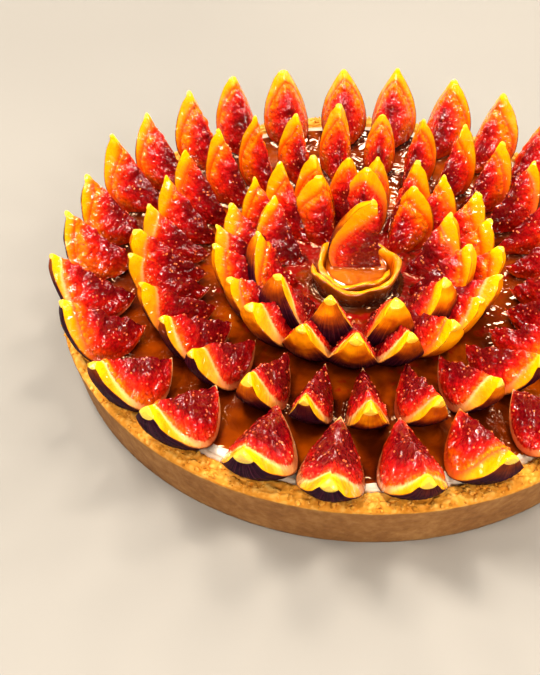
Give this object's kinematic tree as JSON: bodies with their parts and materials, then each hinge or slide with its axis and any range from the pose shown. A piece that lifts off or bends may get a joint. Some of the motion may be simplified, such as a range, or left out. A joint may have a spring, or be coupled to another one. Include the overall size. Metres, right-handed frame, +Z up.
{
  "type": "fruit tart",
  "caption": "Round shortcrust tart filled with mascarpone cream, topped with rings of leaning fresh fig wedges round a rolled slice.",
  "frame": {"origin": "centre of the crust's flat underside, on the surface that the tart stands on", "axes": "+Z up; -Y is the side that faces the viewer, where the wedges lie lowest; +X to the viewer's right"},
  "size_m": [0.2594, 0.2702, 0.0686],
  "materials": {
    "shortcrust": "dry crumbly golden pastry",
    "mascarpone": "smooth cream under a thin clear fruit glaze",
    "fig": "ripe cut fig, glazed and glossy",
    "fig_curl": "thin glazed slice of fig"
  },
  "bodies": {
    "root": {"crust": "shortcrust", "mascarpone_cream": "mascarpone", "fig_outer_01": "fig", "fig_outer_02": "fig", "fig_outer_03": "fig", "fig_outer_04": "fig", "fig_outer_05": "fig", "fig_outer_06": "fig", "fig_outer_07": "fig", "fig_outer_08": "fig", "fig_outer_09": "fig", "fig_outer_10": "fig", "fig_outer_11": "fig", "fig_outer_12": "fig", "fig_outer_13": "fig", "fig_outer_14": "fig", "fig_outer_15": "fig", "fig_outer_16": "fig", "fig_outer_17": "fig", "fig_outer_18": "fig", "fig_outer_19": "fig", "fig_outer_20": "fig", "fig_outer_21": "fig", "fig_outer_22": "fig", "fig_outer_23": "fig", "fig_outer_24": "fig", "fig_outer_25": "fig", "fig_outer_26": "fig", "fig_outer_27": "fig", "fig_second_01": "fig", "fig_second_02": "fig", "fig_second_03": "fig", "fig_second_04": "fig", "fig_second_05": "fig", "fig_second_06": "fig", "fig_second_07": "fig", "fig_second_08": "fig", "fig_second_09": "fig", "fig_second_10": "fig", "fig_second_11": "fig", "fig_second_12": "fig", "fig_second_13": "fig", "fig_second_14": "fig", "fig_second_15": "fig", "fig_second_16": "fig", "fig_second_17": "fig", "fig_second_18": "fig", "fig_second_19": "fig", "fig_second_20": "fig", "fig_second_21": "fig", "fig_second_22": "fig", "fig_second_23": "fig", "fig_second_24": "fig", "fig_second_25": "fig", "fig_second_26": "fig", "fig_second_27": "fig", "fig_second_28": "fig", "fig_inner_rings": "fig", "fig_centre_wedge": "fig", "fig_centre_curl": "fig_curl"}
  },
  "joints": []
}
